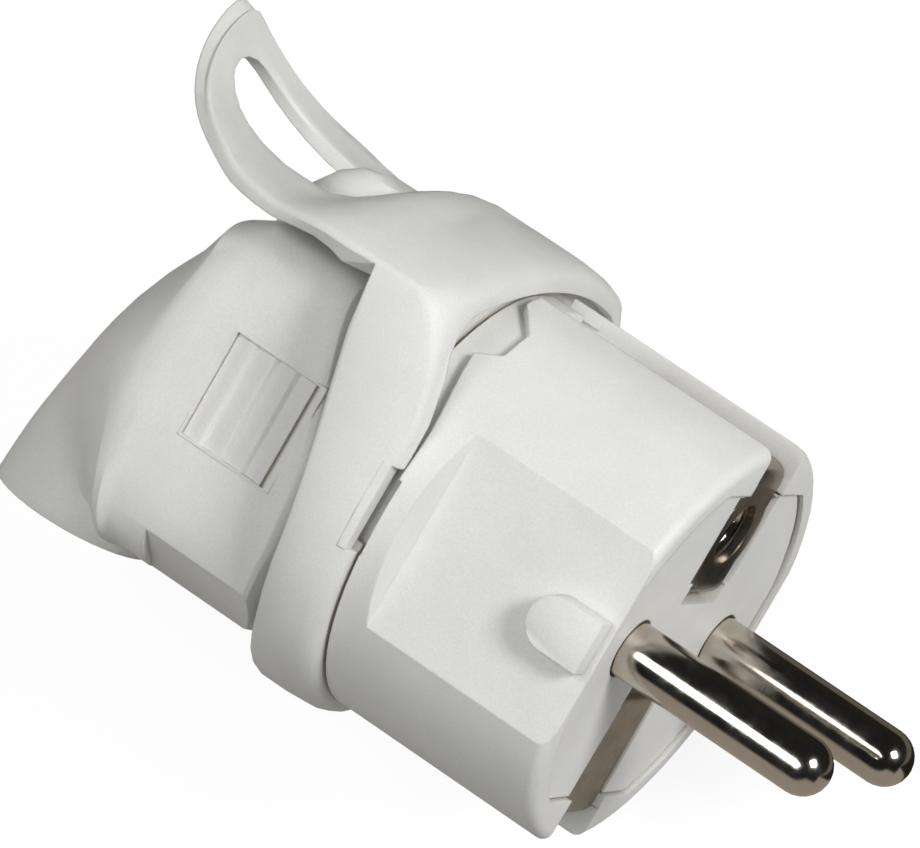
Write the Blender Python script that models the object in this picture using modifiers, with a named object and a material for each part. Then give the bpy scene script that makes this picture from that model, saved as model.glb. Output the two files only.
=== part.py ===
"""Angled mains plug with a pull handle: two round pins, earth strips at two sides, hood turned down.

X runs out along the pins, Y up towards the finger loop and Z across the pins. The origin is the middle of the
contact face. The plug lies on its side, on the flat cheek of the handle's collar.
"""

import math

import bmesh
import bpy
from mathutils import Matrix

# Mains pins and earth socket, to the standard
PIN_DIAMETER = 0.0048
PIN_LENGTH = 0.0190
PIN_SPACING = 0.0190
EARTH_SOCKET_Y = 0.0100
EARTH_SOCKET_BORE = 0.0050

# Clearances between pieces
SEAT_GAP = 0.0003
WINDOW_GAP = 0.0002

# Front housing
SHELL_RADIUS = 0.01835
SHELL_FRONT_X = 0.0004
SHELL_REAR_X = -0.0200
SHELL_EDGE_RADIUS = 0.0010
SHELL_WALL = 0.0021
SHELL_LEDGE_DEPTH = 0.0030
FLAT_HALF_WIDTH = 0.0161
FLAT_REAR_X = -0.0172
FLAT_RAMP = 0.0010
KEY_HALF_HEIGHT = 0.0023
KEY_LENGTH = 0.0060
KEY_TOP_Z = 0.0180
KEY_SET_BACK = 0.0002
GROOVE_HALF_WIDTH = 0.0037
GROOVE_FLOOR_Y = 0.0151
GROOVE_WALL = 0.0015

# Contact carrier
PANEL_HALF_HEIGHT = 0.0138
PANEL_RADIUS = 0.0161
PANEL_HALF_WIDTH = 0.0153
PANEL_CORNER = 0.0012
CARRIER_REAR_X = -0.0110
BRIDGE_HALF_HEIGHT = 0.0038
EYE_POCKET_HALF_WIDTH = 0.0045
EYE_POCKET_LOW_Y = 0.0057
EYE_POCKET_HIGH_Y = 0.0136
EYE_POCKET_DEPTH = 0.0015
POST_RADIUS = 0.0050
POST_LENGTH = 0.0108
SHELF_TOP_Y = -0.0094
SHELF_THICKNESS = 0.0018
SHELF_HALF_WIDTH = 0.0072
SHELF_LENGTH = 0.0200

# Earth strip and earth sleeve
STRIP_WIDTH = 0.0070
STRIP_THICKNESS = 0.0008
STRIP_SET_BACK = 0.0002
STRIP_DIP_Y = 0.0047
STRIP_DIP_DEPTH = 0.0020
STRIP_TAIL = 0.0130
STRIP_BEND = 0.0011
STRIP_HOLE_DIAMETER = 0.0055
STRIP_EYE_RADIUS = 0.0043
SLEEVE_WALL = 0.0008
SLEEVE_LENGTH = 0.0180
SLEEVE_WEB = 0.0015

# Terminals
TERMINAL_HEAD_RADIUS = 0.0040
TERMINAL_HEAD_LENGTH = 0.0050
CLAMP_PLATE_SIDE = 0.0066
CLAMP_PLATE_THICKNESS = 0.0012
TERMINAL_SCREW_DIAMETER = 0.0034
TERMINAL_SCREW_HEAD = 0.0062
TERMINAL_SCREW_HEIGHT = 0.0022
TAPPED_DEPTH = 0.0042
SCREW_SLOT = 0.0009

# Pull handle: collar
COLLAR_RADIUS = 0.0200
COLLAR_CROWN_Y = 0.02055
COLLAR_CROWN_RADIUS = 0.0520
COLLAR_WALL = 0.0022
SHOULDER_RADIUS = 0.0006
INNER_CORNER_RADIUS = 0.0003
COLLAR_REAR_X = -0.0260
COLLAR_LEAN = 0.0040
COLLAR_HEEL = 0.0007
REAR_EDGE_RADIUS = 0.0004
LIP_INSET = 0.0016
LIP_CORNER = 0.0075
LIP_LENGTH = 0.0034
LIP_SWEEP = 0.0023
LIP_SWEEP_LOW_Y = 0.0055
LIP_SWEEP_HIGH_Y = 0.0170
LIP_NOTCH_LOW_Y = -0.0039
LIP_NOTCH_HIGH_Y = 0.0036
LIP_NOTCH_LENGTH = 0.0011
FLANGE_THICKNESS = 0.0018

# Pull handle: finger loop
LOOP_TIP_X = -0.0566
LOOP_TAPER = 2.4
LOOP_NARROWING = 0.045
LOOP_THICKNESS = 0.0013
LOOP_EDGE_RADIUS = 0.0004
SADDLE_Y = 0.01635
SADDLE_START_X = -0.0335
SADDLE_END_X = -0.0410
SADDLE_CROWN_SHARE = 0.25
CURL_START_X = -0.0440
CURL_FLAT_X = -0.0490
CURL_HEIGHT = 0.0088
HOLE_FRONT_X = -0.0352
HOLE_REAR_X = -0.0550
HOLE_HALF_WIDTH = 0.0072
HOLE_SQUARENESS = 2.3

# Hood
HOOD_HALF_WIDTH = 0.0150
HOOD_TOP_Y = 0.0140
HOOD_BOTTOM_Y = -0.0166
HOOD_WALL = 0.0020
HOOD_SET_BACK = 0.0012
FALL_LOW = 0.0008
FALL_HIGH = 0.0028
NECK_TOP_Y = 0.0120
NECK_BOTTOM_Y = -0.0146
NECK_HALF_WIDTH = 0.0124
NECK_SQUARENESS = 4.0
ELBOW_X = -0.0410
EXIT_Y = -0.0184
EXIT_RADIUS = 0.0072
EXIT_HEEL = 0.0005
HOOD_BACK_LOW_X = -0.0558
HOOD_BACK_LEAN = 0.0075
HOOD_BACK_RISE = 0.0294
HOOD_BACK_BULGE = 0.0014
HOOD_CORNER_SHARPNESS = 4.2
CHEEK_SQUARENESS = 12.0
SHOULDER_SQUARENESS = 2.4
SOLE_SQUARENESS = 4.5
CHEEK_END = 14.0
WAIST_START = 12.0
WAIST_END = 62.0
DOME_X = -0.0400
DOME_Y = 0.0102
DOME_HEIGHT = 0.0083
DOME_HALF_WIDTH = 0.0046
DOME_FRONT_LENGTH = 0.0042
DOME_REAR_LENGTH = 0.0060
DOME_BLUNTNESS = 0.7
CHAMFER_Y = -0.0124
CHAMFER_LEDGE = 0.0003
CHAMFER_SLOPE = 57.0
CHAMFER_REAR_X = -0.0376
CHAMFER_FRONT_X = -0.0255
PAD_FRONT_X = -0.0310
PAD_REAR_X = -0.0387
PAD_HALF_HEIGHT = 0.0046
PAD_GROOVES = 4
PAD_GROOVE_SHARE = 0.85
PAD_DEPTH = 0.0005

# Hood screw, cord clamp and cable bush
HOUSING_SCREW_Y = 0.0005
HOUSING_SCREW_DIAMETER = 0.0038
HOUSING_SCREW_HEAD = 0.0066
HOUSING_SCREW_HEIGHT = 0.0028
HOUSING_NUT_FLATS = 0.0065
HOUSING_NUT_THICKNESS = 0.0028
HOUSING_SEAT_X = -0.0375
HOUSING_SEAT_THICKNESS = 0.0030
TUBE_WALL = 0.0016
CORD_CLAMP_X = -0.0275
CORD_CLAMP_WIDTH = 0.0056
CORD_CLAMP_THICKNESS = 0.0022
CORD_CLAMP_HALF_LENGTH = 0.0078
CORD_CLAMP_SCREW_Z = 0.0053
CORD_SCREW_DIAMETER = 0.0024
CORD_SCREW_HEAD = 0.0042
CORD_SCREW_HEIGHT = 0.0016
CLAMP_BOSS_HEIGHT = 0.0021
CLAMP_BOSS_RADIUS = 0.0019
CLAMP_ARCH_HALF_WIDTH = 0.0032
CLAMP_ARCH_RISE = 0.0025
BUSH_LENGTH = 0.0050
BUSH_TAPER = 0.0007
BUSH_BORE = 0.0076
BUSH_SET_BACK = 0.0006

# Places that follow from the sizes above
PIN_Z = PIN_SPACING / 2
SPIGOT_RADIUS = COLLAR_RADIUS - COLLAR_WALL - SEAT_GAP
CAVITY_RADIUS = SPIGOT_RADIUS - SHELL_WALL
CAVITY_HALF_HEIGHT = GROOVE_FLOOR_Y - GROOVE_WALL
COLLAR_FRONT_X = SHELL_REAR_X - SEAT_GAP
FLANGE_REAR_X = COLLAR_REAR_X + WINDOW_GAP
FLANGE_FRONT_X = FLANGE_REAR_X + FLANGE_THICKNESS
SPIGOT_END_X = FLANGE_FRONT_X + SEAT_GAP
NECK_FRONT_X = FLANGE_REAR_X - SEAT_GAP
LOOP_START_X = COLLAR_REAR_X - COLLAR_LEAN
STRIP_END_Y = GROOVE_FLOOR_Y + SEAT_GAP + STRIP_THICKNESS
STRIP_FACE_X = -STRIP_SET_BACK - STRIP_THICKNESS
CHANNEL_FLOOR_X = STRIP_FACE_X - SEAT_GAP
TUNNEL_TOP_X = -STRIP_SET_BACK - STRIP_DIP_DEPTH + SEAT_GAP
TUNNEL_FLOOR_X = STRIP_FACE_X - STRIP_DIP_DEPTH - SEAT_GAP
SLEEVE_RADIUS = EARTH_SOCKET_BORE / 2 + SLEEVE_WALL
SLEEVE_REAR_X = CHANNEL_FLOOR_X - SLEEVE_LENGTH
TAPPED_RADIUS = TERMINAL_SCREW_DIAMETER / 2 + WINDOW_GAP
TERMINAL_FRONT_X = CARRIER_REAR_X - SEAT_GAP
TERMINAL_REAR_X = TERMINAL_FRONT_X - TERMINAL_HEAD_LENGTH
POST_REAR_X = CARRIER_REAR_X - POST_LENGTH
NUT_RADIUS = HOUSING_NUT_FLATS / math.sqrt(3)

ROUND_STEPS = 28
SCREW_STEPS = 18
BOTTOM_POINTS = 12
SIDE_POINTS = 3
CORNER_POINTS = 5
CROWN_POINTS = 8
SHOULDER = BOTTOM_POINTS + SIDE_POINTS - 1
HOOD_POINTS = 36
HOOD_TURN_STEPS = 14
HOOD_INNER_STEPS = 7

COLOURS = {
    "white": ((0.80, 0.80, 0.77, 1.0), 0.50, 0.0),
    "nickel": ((0.62, 0.58, 0.52, 1.0), 0.16, 1.0),
    "strip": ((0.50, 0.46, 0.41, 1.0), 0.34, 1.0),
    "steel": ((0.56, 0.57, 0.58, 1.0), 0.30, 1.0),
    "rubber": ((0.60, 0.60, 0.58, 1.0), 0.75, 0.0),
}


def clear_scene():
    for obj in list(bpy.data.objects):
        bpy.data.objects.remove(obj)


def new_collection(name):
    made = bpy.data.collections.new(name)
    bpy.context.scene.collection.children.link(made)
    return made


def finish_of(node, kind):
    colour, roughness, metallic = COLOURS[kind]
    made = bpy.data.materials.new(f"{node}_{kind}")
    made.use_nodes = True
    shader = made.node_tree.nodes["Principled BSDF"]
    shader.inputs["Base Color"].default_value = colour
    shader.inputs["Roughness"].default_value = roughness
    shader.inputs["Metallic"].default_value = metallic
    return made


def frame_of(axis):
    """Local z becomes the named axis, and local x and y follow in cyclic order."""
    if axis == "X":
        return Matrix(((0, 0, 1), (1, 0, 0), (0, 1, 0))).to_4x4()
    if axis == "Y":
        return Matrix(((0, 1, 0), (0, 0, 1), (1, 0, 0))).to_4x4()
    return Matrix.Identity(4)


def add_mesh(name, mesh, matrix=None):
    obj = bpy.data.objects.new(name, mesh)
    PARTS.objects.link(obj)
    if matrix is not None:
        obj.matrix_world = matrix
    return obj


def smooth(obj, degrees=35.0):
    obj.data.shade_smooth()
    obj.data.set_sharp_from_angle(angle=math.radians(degrees))


def dress(obj, kind):
    """Gives a finished node its own material and smooth shading."""
    obj.data.materials.clear()
    obj.data.materials.append(finish_of(obj.name, kind))
    smooth(obj)
    return obj


def as_cutter(obj):
    PARTS.objects.unlink(obj)
    CUTTERS.objects.link(obj)
    obj.hide_render = True
    obj.display_type = "WIRE"
    return obj


def boolean(target, cutter, operation="DIFFERENCE"):
    as_cutter(cutter)
    step = target.modifiers.new(f"{operation.lower()} {cutter.name}", "BOOLEAN")
    step.operation = operation
    step.object = cutter
    return target


def bevel(obj, width, segments=2, degrees=50.0):
    step = obj.modifiers.new("rounded edges", "BEVEL")
    step.width = width
    step.segments = segments
    step.limit_method = "ANGLE"
    step.angle_limit = math.radians(degrees)
    return obj


def as_mesh(obj):
    """Replaces an object by the mesh that its modifiers or its curve make, with doubled points welded."""
    bpy.context.view_layer.update()
    graph = bpy.context.evaluated_depsgraph_get()
    mesh = bpy.data.meshes.new_from_object(obj.evaluated_get(graph))
    work = bmesh.new()
    work.from_mesh(mesh)
    bmesh.ops.remove_doubles(work, verts=work.verts, dist=1e-6)
    work.to_mesh(mesh)
    work.free()
    name = obj.name
    matrix = obj.matrix_world.copy()
    bpy.data.objects.remove(obj)
    return add_mesh(name, mesh, matrix)


def box(name, low, high):
    work = bmesh.new()
    bmesh.ops.create_cube(work, size=1.0)
    size = Matrix.Diagonal((high[0] - low[0], high[1] - low[1], high[2] - low[2], 1.0))
    middle = Matrix.Translation([(a + b) / 2 for a, b in zip(low, high)])
    bmesh.ops.transform(work, matrix=middle @ size, verts=work.verts)
    mesh = bpy.data.meshes.new(name)
    work.to_mesh(mesh)
    work.free()
    return add_mesh(name, mesh)


def rod(name, axis, place, radius, low, high, steps=ROUND_STEPS):
    """A cylinder along an axis; place holds the other two coordinates, in the cyclic order after the axis."""
    work = bmesh.new()
    bmesh.ops.create_cone(
        work, cap_ends=True, segments=steps, radius1=radius, radius2=radius, depth=high - low
    )
    move = Matrix.Translation((place[0], place[1], (low + high) / 2))
    bmesh.ops.transform(work, matrix=frame_of(axis) @ move, verts=work.verts)
    mesh = bpy.data.meshes.new(name)
    work.to_mesh(mesh)
    work.free()
    return add_mesh(name, mesh)


def plate(name, axis, outlines, low, high):
    """Flat outlines, first the rim and then holes, drawn across an axis and thickened along it."""
    curve = bpy.data.curves.new(name, "CURVE")
    curve.dimensions = "2D"
    curve.fill_mode = "BOTH"
    curve.extrude = (high - low) / 2
    for outline in outlines:
        points = [p for p, before in zip(outline, outline[-1:] + outline) if math.dist(p, before) > 1e-7]
        spline = curve.splines.new("POLY")
        spline.points.add(len(points) - 1)
        for point, (a, b) in zip(spline.points, points):
            point.co = (a, b, 0, 1)
        spline.use_cyclic_u = True
    obj = bpy.data.objects.new(name, curve)
    PARTS.objects.link(obj)
    obj.matrix_world = frame_of(axis) @ Matrix.Translation((0, 0, (low + high) / 2))
    return as_mesh(obj)


def turned(name, profile, place=(0.0, 0.0), steps=ROUND_STEPS):
    """A profile of (x, radius) points turned about an axis along X at the given y and z."""
    closed = profile[0][1] > 0
    mesh = bpy.data.meshes.new(name)
    points = [(radius, 0.0, x) for x, radius in profile]
    edges = [(i, i + 1) for i in range(len(points) - 1)]
    if closed:
        edges.append((len(points) - 1, 0))
    mesh.from_pydata(points, edges, [])
    obj = add_mesh(name, mesh, frame_of("X") @ Matrix.Translation((place[0], place[1], 0)))
    step = obj.modifiers.new("turn", "SCREW")
    step.axis = "Z"
    step.angle = math.tau
    step.steps = steps
    step.render_steps = steps
    step.use_merge_vertices = True
    step.merge_threshold = 1e-6
    return as_mesh(obj)


def arc(centre, radius, start, end, count):
    """Points on an arc, with its angles in degrees."""
    points = []
    for i in range(count):
        a = math.radians(start + (end - start) * i / (count - 1))
        points.append((centre[0] + radius * math.cos(a), centre[1] + radius * math.sin(a)))
    return points


def superellipse(centre, half_a, half_b, power, count, lower_power=None):
    """An oval between an ellipse, at power 2, and a box; its lower half can have a power of its own."""
    points = []
    for i in range(count):
        turn = math.tau * i / count
        c, s = math.cos(turn), math.sin(turn)
        bend = 2 / (power if c > 0 or lower_power is None else lower_power)
        a = centre[0] + half_a * math.copysign(abs(c) ** bend, c)
        b = centre[1] + half_b * math.copysign(abs(s) ** bend, s)
        points.append((a, b))
    return points


def blend(low, high, value):
    """0 up to low, 1 from high on, and a smooth step between them."""
    t = min(max((value - low) / (high - low), 0.0), 1.0)
    return t * t * (3 - 2 * t)


def mix(a, b, t):
    return a + (b - a) * t


def truncated_disc(half_height, radius, corner, half_width=None):
    """A disc in (y, z) with its top and bottom cut straight, and its sides too if a half width is given."""
    inner_y = half_height - corner
    inner_z = math.sqrt((radius - corner) ** 2 - inner_y**2)
    turn = math.degrees(math.atan2(inner_z, inner_y))
    stop = 90.0 if half_width is None else math.degrees(math.asin(half_width / radius))
    quarter = arc((inner_y, inner_z), corner, 0, turn, 4) + arc((0, 0), radius, turn, stop, 8)
    half = quarter + [(-y, z) for y, z in reversed(quarter)]
    return half + [(-y, -z) for y, z in half]


def panel_outline(room):
    """The carrier's front panel, or its window in the shell."""
    side = PANEL_HALF_WIDTH + room
    return truncated_disc(PANEL_HALF_HEIGHT + room, PANEL_RADIUS + room, PANEL_CORNER, side)


def both_sides(side, low, high):
    """A span that is measured outwards from the middle plane, on the side asked for."""
    return (side * low, side * high) if side > 0 else (side * high, side * low)


def front_shell():
    edge = SHELL_EDGE_RADIUS
    profile = [(SHELL_FRONT_X, 0.0)] + arc((SHELL_FRONT_X - edge, SHELL_RADIUS - edge), edge, 0, 90, 5)
    profile += [(SHELL_REAR_X, SHELL_RADIUS), (SHELL_REAR_X, SPIGOT_RADIUS)]
    profile += [(SPIGOT_END_X, SPIGOT_RADIUS), (SPIGOT_END_X, 0.0)]
    shell = turned("front_shell", profile, steps=64)

    cavity = truncated_disc(CAVITY_HALF_HEIGHT, CAVITY_RADIUS, PANEL_CORNER)
    boolean(shell, plate("shell_cavity", "X", [cavity], SPIGOT_END_X - 0.01, -SHELL_LEDGE_DEPTH + 0.001))
    boolean(shell, plate("shell_window", "X", [panel_outline(WINDOW_GAP)], -SHELL_LEDGE_DEPTH, 0.01))
    for side in (-1, 1):
        flat = [
            (0.01, FLAT_HALF_WIDTH),
            (0.01, 0.03),
            (FLAT_REAR_X - FLAT_RAMP * 4, 0.03),
            (FLAT_REAR_X - FLAT_RAMP, SHELL_RADIUS + 0.0001),
            (FLAT_REAR_X, FLAT_HALF_WIDTH),
        ]
        outline = [(side * z, x) for x, z in flat]
        boolean(shell, plate(f"shell_flat_{side}", "Y", [outline], -0.012, 0.012))
        key_end = arc((KEY_HALF_HEIGHT - KEY_LENGTH, 0), KEY_HALF_HEIGHT, 90, 270, 13)
        key = [(-KEY_SET_BACK, KEY_HALF_HEIGHT)] + key_end + [(-KEY_SET_BACK, -KEY_HALF_HEIGHT)]
        window_side = PANEL_HALF_WIDTH + WINDOW_GAP
        key_span = both_sides(side, (window_side + FLAT_HALF_WIDTH) / 2, KEY_TOP_Z)
        raised = plate(f"shell_key_{side}", "Z", [key], *key_span)
        boolean(shell, bevel(raised, 0.0002, 2, 50), "UNION")
        low, high = both_sides(side, GROOVE_FLOOR_Y, 0.03)
        width = GROOVE_HALF_WIDTH
        groove = box(f"shell_groove_{side}", (SHELL_REAR_X - 0.001, low, -width), (0.01, high, width))
        boolean(shell, groove)
        low, high = both_sides(side, 0.012, 0.03)
        width = GROOVE_HALF_WIDTH - 0.0001
        notch = box(f"shell_notch_{side}", (CHANNEL_FLOOR_X, low, -width), (0.01, high, width))
        boolean(shell, notch)
        boolean(shell, rim_slot("shell_rim_slot", side, SHELL_REAR_X + WINDOW_GAP / 2, CAVITY_RADIUS - 0.001))
    return dress(shell, "white")


def rim_slot(name, side, front_x, inner_z):
    """The slot under the collar's lip at one cheek, which opens through the shell's spigot behind it."""
    low, high = both_sides(side, inner_z, COLLAR_RADIUS + 0.001)
    rear_x = COLLAR_FRONT_X - LIP_NOTCH_LENGTH
    return box(f"{name}_{side}", (rear_x, LIP_NOTCH_LOW_Y, low), (front_x, LIP_NOTCH_HIGH_Y, high))


def contact_carrier():
    """The insert in the shell's window: it holds the pins, the earth parts and the captive nut."""
    panel_rear = -SHELL_LEDGE_DEPTH + SEAT_GAP
    carrier = plate("contact_carrier", "X", [panel_outline(0.0)], panel_rear, 0.0)
    base = truncated_disc(CAVITY_HALF_HEIGHT - SEAT_GAP, CAVITY_RADIUS - SEAT_GAP, PANEL_CORNER)
    boolean(carrier, plate("carrier_base", "X", [base], CARRIER_REAR_X, -SHELL_LEDGE_DEPTH / 2), "UNION")
    centre = (HOUSING_SCREW_Y, 0)
    post = rod("carrier_post", "X", centre, POST_RADIUS, POST_REAR_X, CARRIER_REAR_X + 0.001)
    boolean(carrier, post, "UNION")
    shelf = box(
        "carrier_shelf",
        (CARRIER_REAR_X - SHELF_LENGTH, SHELF_TOP_Y - SHELF_THICKNESS, -SHELF_HALF_WIDTH),
        (CARRIER_REAR_X + 0.001, SHELF_TOP_Y, SHELF_HALF_WIDTH),
    )
    boolean(carrier, shelf, "UNION")
    low, high = SHELF_TOP_Y - SHELF_THICKNESS - 0.001, SHELF_TOP_Y + CLAMP_BOSS_HEIGHT
    for side in (-1, 1):
        place = (side * CORD_CLAMP_SCREW_Z, CORD_CLAMP_X)
        boss = rod(f"carrier_boss_{side}", "Y", place, CLAMP_BOSS_RADIUS, SHELF_TOP_Y - 0.0008, high, 20)
        boolean(carrier, boss, "UNION")
    for side in (-1, 1):
        place = (side * CORD_CLAMP_SCREW_Z, CORD_CLAMP_X)
        radius = CORD_SCREW_DIAMETER / 2 + WINDOW_GAP
        boolean(carrier, rod(f"carrier_pilot_{side}", "Y", place, radius, low, high + 0.001, 16))
        radius = PIN_DIAMETER / 2 + WINDOW_GAP
        boolean(carrier, rod(f"carrier_pin_hole_{side}", "X", (0, side * PIN_Z), radius, -0.02, 0.01))
        start, end = both_sides(side, BRIDGE_HALF_HEIGHT, 0.02)
        width = STRIP_WIDTH / 2 + WINDOW_GAP
        channel = box(f"carrier_channel_{side}", (CHANNEL_FLOOR_X, start, -width), (0.01, end, width))
        boolean(carrier, channel)
    width = STRIP_WIDTH / 2 + WINDOW_GAP * 1.5
    length = STRIP_DIP_Y + STRIP_THICKNESS
    tunnel = box("carrier_tunnel", (TUNNEL_FLOOR_X, -length, -width), (TUNNEL_TOP_X, length, width))
    for side in (-1, 1):
        start, end = both_sides(side, BRIDGE_HALF_HEIGHT, length)
        shaft = box(f"carrier_shaft_{side}", (TUNNEL_FLOOR_X, start, -width), (0.01, end, width))
        boolean(tunnel, shaft, "UNION")
    boolean(carrier, as_mesh(tunnel))
    width = EYE_POCKET_HALF_WIDTH
    pocket = box(
        "carrier_eye_pocket", (-EYE_POCKET_DEPTH, EYE_POCKET_LOW_Y, -width), (0.01, EYE_POCKET_HIGH_Y, width)
    )
    boolean(carrier, pocket)
    radius = SLEEVE_RADIUS + WINDOW_GAP
    boolean(carrier, rod("carrier_sleeve_hole", "X", (EARTH_SOCKET_Y, 0), radius, -0.02, 0.01))
    radius = HOUSING_SCREW_DIAMETER / 2 + WINDOW_GAP
    boolean(carrier, rod("carrier_screw_hole", "X", centre, radius, POST_REAR_X - 0.001, -0.007, 20))
    radius = NUT_RADIUS + WINDOW_GAP
    floor = POST_REAR_X + HOUSING_NUT_THICKNESS + SEAT_GAP
    boolean(carrier, rod("carrier_nut_pocket", "X", centre, radius, POST_REAR_X - 0.001, floor, 6))
    return dress(carrier, "white")


def mains_pin(name, side):
    """A round pin with a domed end, and a larger tapped head behind the carrier."""
    radius = PIN_DIAMETER / 2
    profile = arc((PIN_LENGTH - radius, 0.0), radius, 0, 90, 8)
    profile += [
        (TERMINAL_FRONT_X, radius),
        (TERMINAL_FRONT_X, TERMINAL_HEAD_RADIUS),
        (TERMINAL_REAR_X, TERMINAL_HEAD_RADIUS),
        (TERMINAL_REAR_X, TAPPED_RADIUS),
        (TERMINAL_REAR_X + TAPPED_DEPTH, TAPPED_RADIUS),
        (TERMINAL_REAR_X + TAPPED_DEPTH, 0.0),
    ]
    return dress(turned(name, profile, (0.0, side * PIN_Z)), "nickel")


def rounded_path(points, radius, count=5):
    """An open path whose corners are turned as soft bends, no larger than their legs allow."""
    made = [points[0]]
    for before, corner, after in zip(points, points[1:], points[2:]):
        reach = min(radius, 0.48 * math.dist(before, corner), 0.48 * math.dist(after, corner))
        start = toward(corner, before, reach)
        end = toward(corner, after, reach)
        for i in range(count):
            t = i / (count - 1)
            ends = ((1 - t) ** 2, 2 * t * (1 - t), t * t)
            made.append(tuple(ends[0] * start[k] + ends[1] * corner[k] + ends[2] * end[k] for k in (0, 1)))
    made.append(points[-1])
    return made


def toward(start, goal, reach):
    share = reach / math.dist(start, goal)
    return (mix(start[0], goal[0], share), mix(start[1], goal[1], share))


def earth_contact():
    """One pressed strip: along the face, under the bridge, and folded back along both grooves."""
    face = -STRIP_SET_BACK - STRIP_THICKNESS / 2
    dip = face - STRIP_DIP_DEPTH
    end = STRIP_END_Y - STRIP_THICKNESS / 2
    half = [(dip, STRIP_DIP_Y), (face, STRIP_DIP_Y), (face, end), (face - STRIP_TAIL, end)]
    path = rounded_path([(x, -y) for x, y in reversed(half)] + half, STRIP_BEND)
    mesh = bpy.data.meshes.new("earth_contact")
    count = len(path)
    points = [(x, y, z) for z in (-STRIP_WIDTH / 2, STRIP_WIDTH / 2) for x, y in path]
    faces = [(i, i + 1, count + i + 1, count + i) for i in range(count - 1)]
    mesh.from_pydata(points, [], faces)
    strip = add_mesh("earth_contact", mesh)
    sheet = strip.modifiers.new("sheet", "SOLIDIFY")
    sheet.thickness = STRIP_THICKNESS
    sheet.offset = 0
    sheet.use_even_offset = True
    place = (EARTH_SOCKET_Y, 0)
    rear, front = STRIP_FACE_X + 0.00002, -STRIP_SET_BACK - 0.00002
    boolean(strip, rod("strip_eye", "X", place, STRIP_EYE_RADIUS, rear, front), "UNION")
    boolean(strip, rod("strip_hole", "X", place, STRIP_HOLE_DIAMETER / 2, -0.0015, 0.001))
    return dress(strip, "strip")


def earth_socket():
    """A turned sleeve for the socket's earth pin, with a solid tapped end."""
    bore = EARTH_SOCKET_BORE / 2
    tapped = SLEEVE_REAR_X + TAPPED_DEPTH
    chamfer = 0.0003
    profile = [
        (tapped + SLEEVE_WEB, 0.0),
        (tapped + SLEEVE_WEB, bore),
        (CHANNEL_FLOOR_X - chamfer, bore),
        (CHANNEL_FLOOR_X, bore + chamfer),
        (CHANNEL_FLOOR_X, SLEEVE_RADIUS),
        (SLEEVE_REAR_X, SLEEVE_RADIUS),
        (SLEEVE_REAR_X, TAPPED_RADIUS),
        (tapped, TAPPED_RADIUS),
        (tapped, 0.0),
    ]
    return dress(turned("earth_socket", profile, (EARTH_SOCKET_Y, 0.0)), "nickel")


def slotted_screw(name, axis, place, seat, shank, diameter, head, height, way=1):
    """A screw with its head on seat and its shank running on from there, up the axis or down it."""
    near, far = sorted((seat, seat - way * height))
    screw = rod(name, axis, place, head / 2, near, far, SCREW_STEPS)
    bevel(screw, height * 0.2, 1)
    near, far = sorted((seat - way * height / 2, seat + way * shank))
    boolean(screw, rod(f"{name}_shank", axis, place, diameter / 2, near, far, SCREW_STEPS), "UNION")
    top = seat - way * height
    low, high = sorted((top - way * 0.001, top + way * height * 0.45))
    slot = box(f"{name}_slot", (-SCREW_SLOT / 2, -head, low), (SCREW_SLOT / 2, head, high))
    slot.matrix_world = frame_of(axis) @ Matrix.Translation((place[0], place[1], 0))
    boolean(screw, slot)
    return dress(screw, "steel")


def terminal(prefix, place, rear_x):
    """The square clamp plate and its screw behind one tapped head."""
    front = rear_x - SEAT_GAP
    rear = front - CLAMP_PLATE_THICKNESS
    half = CLAMP_PLATE_SIDE / 2
    rim = [(place[0] + a * half, place[1] + b * half) for a, b in ((1, 1), (-1, 1), (-1, -1), (1, -1))]
    hole = arc(place, TAPPED_RADIUS, 0, 342, 20)
    dress(plate(f"{prefix}_clamp_plate", "X", [rim, hole], rear, front), "steel")
    slotted_screw(
        f"{prefix}_terminal_screw",
        "X",
        place,
        rear - SEAT_GAP,
        CLAMP_PLATE_THICKNESS + SEAT_GAP + TAPPED_DEPTH - 0.0004,
        TERMINAL_SCREW_DIAMETER,
        TERMINAL_SCREW_HEAD,
        TERMINAL_SCREW_HEIGHT,
    )


def crown_y(z):
    """Height of the collar's top arc at a place across."""
    return COLLAR_CROWN_Y - COLLAR_CROWN_RADIUS + math.sqrt(COLLAR_CROWN_RADIUS**2 - z**2)


def collar_outline(corner, inset):
    """Half the collar's outline in (y, z), from the middle of the bottom up to the middle of the top."""
    radius = COLLAR_RADIUS - inset
    crown = COLLAR_CROWN_RADIUS - inset
    centre_y = COLLAR_CROWN_Y - COLLAR_CROWN_RADIUS
    corner_z = radius - corner
    corner_y = centre_y + math.sqrt((crown - corner) ** 2 - corner_z**2)
    turn = math.degrees(math.atan2(corner_y - centre_y, corner_z))
    points = arc((0, 0), radius, 180, 90, BOTTOM_POINTS)
    points += [(corner_y * i / SIDE_POINTS, radius) for i in range(1, SIDE_POINTS)]
    points += [(y, z) for z, y in arc((corner_z, corner_y), corner, 0, turn, CORNER_POINTS)]
    points += [(y, z) for z, y in arc((0, centre_y), crown, turn, 90, CROWN_POINTS)][1:]
    return points


def collar_front_x(y):
    """The front edge of the collar's lip, which sweeps back towards the top."""
    return COLLAR_FRONT_X - LIP_SWEEP * blend(LIP_SWEEP_LOW_Y, LIP_SWEEP_HIGH_Y, y)


def collar_rear_x(y):
    """The collar's rear edge: further back at the shoulders than at the waist, and a little at the bottom."""
    return COLLAR_REAR_X - COLLAR_LEAN * blend(-0.007, 0.017, y) - COLLAR_HEEL * blend(0.012, 0.0195, -y)


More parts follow.
